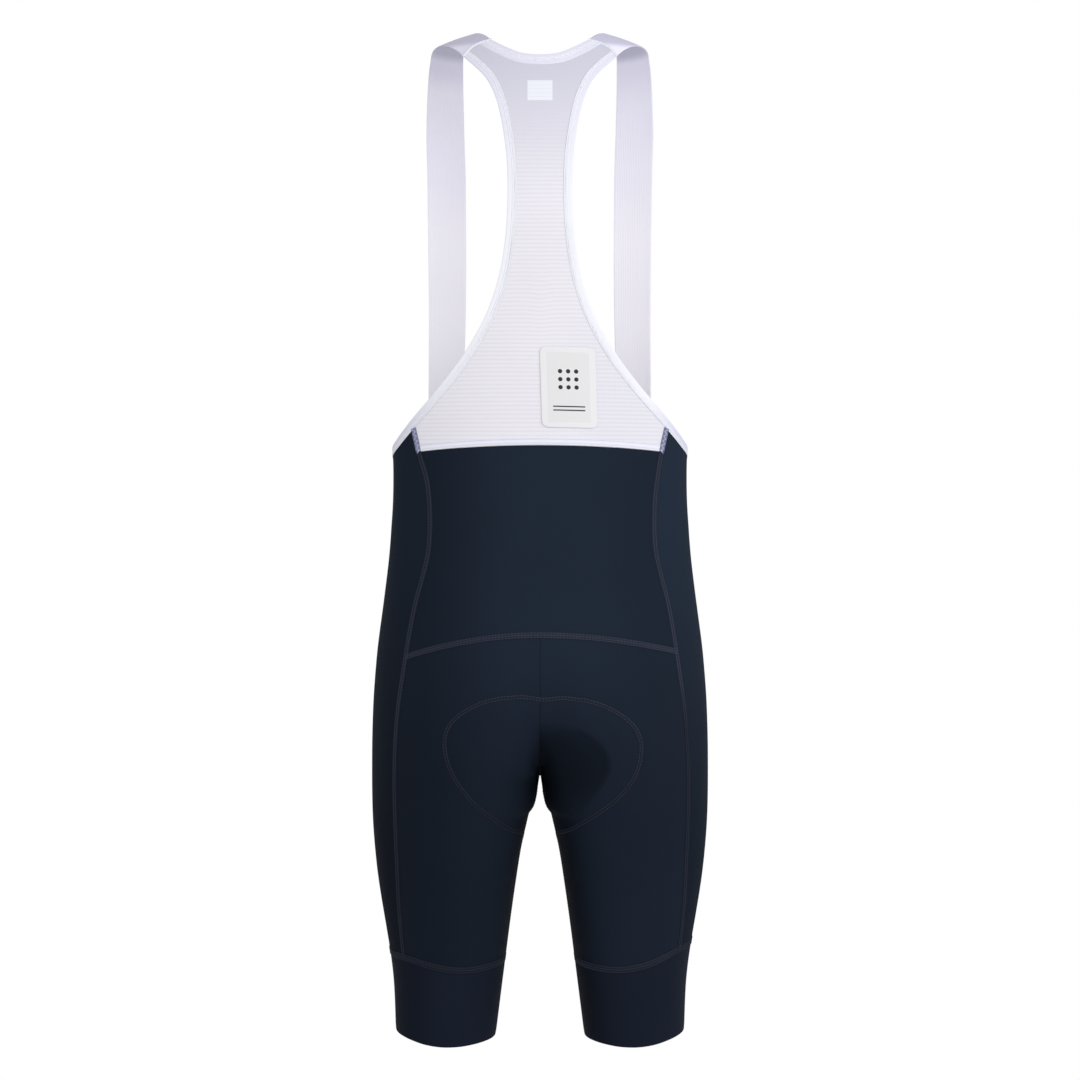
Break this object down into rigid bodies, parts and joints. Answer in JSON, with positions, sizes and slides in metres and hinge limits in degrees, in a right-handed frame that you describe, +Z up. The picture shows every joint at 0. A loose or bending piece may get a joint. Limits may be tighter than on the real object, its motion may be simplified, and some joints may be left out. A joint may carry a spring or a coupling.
{
  "type": "cycling bib shorts",
  "caption": "Close-fitting padded cycling shorts with a high back of ribbed net, bound armholes, wide elastic shoulder straps and banded legs, filled out as when worn.",
  "frame": {"origin": "midway between the two shoulders, level with the top of the straps there, where the wearer's shoulders hold the garment up", "axes": "+Z up, +Y to the back of the garment, -Y to its front, +X to the wearer's left"},
  "size_m": [0.325, 0.2234, 0.9699],
  "materials": {
    "navy_knit": "matt stretch knit",
    "side_knit": "matt stretch knit",
    "band_knit": "smooth gripper knit",
    "ribbed_net": "fine ribbed net",
    "binding_elastic": "folded elastic",
    "strap_elastic": "soft woven elastic",
    "pad_fabric": "brushed knit over foam",
    "label_fabric": "smooth printed fabric"
  },
  "bodies": {
    "root": {"back_mesh": "ribbed_net", "back_yoke": "navy_knit", "seat_left": "navy_knit", "seat_right": "navy_knit", "front_left": "navy_knit", "front_right": "navy_knit", "side_panel_left": "side_knit", "side_panel_right": "side_knit", "leg_band_left": "band_knit", "leg_band_right": "band_knit", "binding_neck": "binding_elastic", "binding_armhole_left": "binding_elastic", "binding_armhole_right": "binding_elastic", "strap_left": "strap_elastic", "strap_right": "strap_elastic", "seat_pad": "pad_fabric", "label_back": "label_fabric", "label_neck": "label_fabric"}
  },
  "joints": []
}
